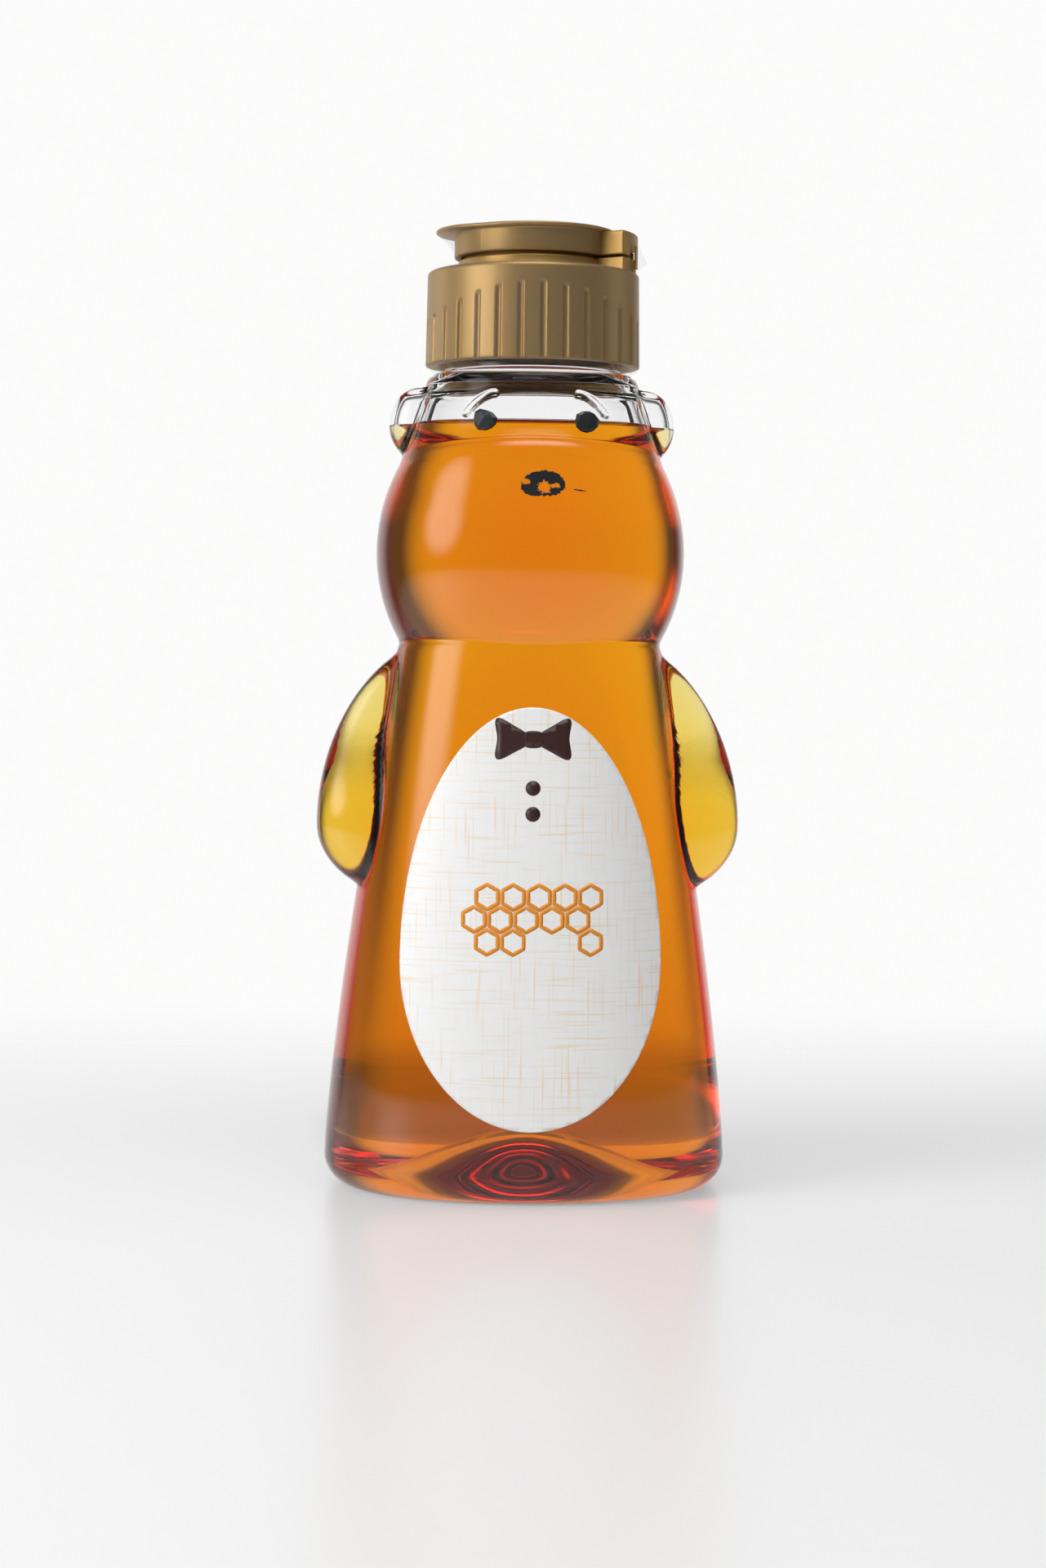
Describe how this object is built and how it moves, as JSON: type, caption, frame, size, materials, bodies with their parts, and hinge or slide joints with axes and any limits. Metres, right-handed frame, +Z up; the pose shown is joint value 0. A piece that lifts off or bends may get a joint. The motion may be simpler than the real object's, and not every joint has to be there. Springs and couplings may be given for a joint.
{
  "type": "honey bear bottle",
  "caption": "Clear bear-shaped squeeze bottle full of honey, with a grooved screw cap and a hinged flip lid.",
  "frame": {"origin": "middle of the base, on the surface the bottle stands on", "axes": "+Z up along the neck; the bear faces -Y; +X towards the lid's hinge"},
  "size_m": [0.0848, 0.0606, 0.1909],
  "materials": {
    "clear_pet": "clear gloss",
    "honey": "clear liquid",
    "black_paint": "satin",
    "label_film": "smooth satin",
    "liner_foam": "matte",
    "gold_plastic": "satin metallic",
    "clear_film": "clear gloss"
  },
  "bodies": {
    "bottle": {"bottle": "clear_pet", "honey": "honey", "eye_left": "black_paint", "eye_right": "black_paint", "nose": "black_paint", "label": "label_film"},
    "liner": {"cap_liner": "liner_foam"},
    "cap": {"cap": "gold_plastic", "hinge_strap_front": "gold_plastic", "hinge_strap_back": "gold_plastic", "shrink_band_lower": "clear_film"},
    "lid": {"lid": "gold_plastic", "shrink_band_upper": "clear_film"}
  },
  "joints": [
    {"name": "cap_lift", "type": "slide", "parent": "bottle", "child": "liner", "axis": [0, 0, 1], "range_m": [0, 0.00636]},
    {"name": "cap_turn", "type": "hinge", "parent": "liner", "child": "cap", "pos_m": [0, 0, 0.17], "axis": [0, 0, 1], "range_deg": [0, 540]},
    {"name": "lid_flip", "type": "hinge", "parent": "cap", "child": "lid", "pos_m": [0.02095, 0, 0.18505], "axis": [0, 1, 0], "range_deg": [0, 150], "deforming": ["hinge_strap_front", "hinge_strap_back"]}
  ],
  "couplings": [
    {"joint": "cap_lift", "follows": "cap_turn", "m_per_rad": 0.0006737}
  ]
}
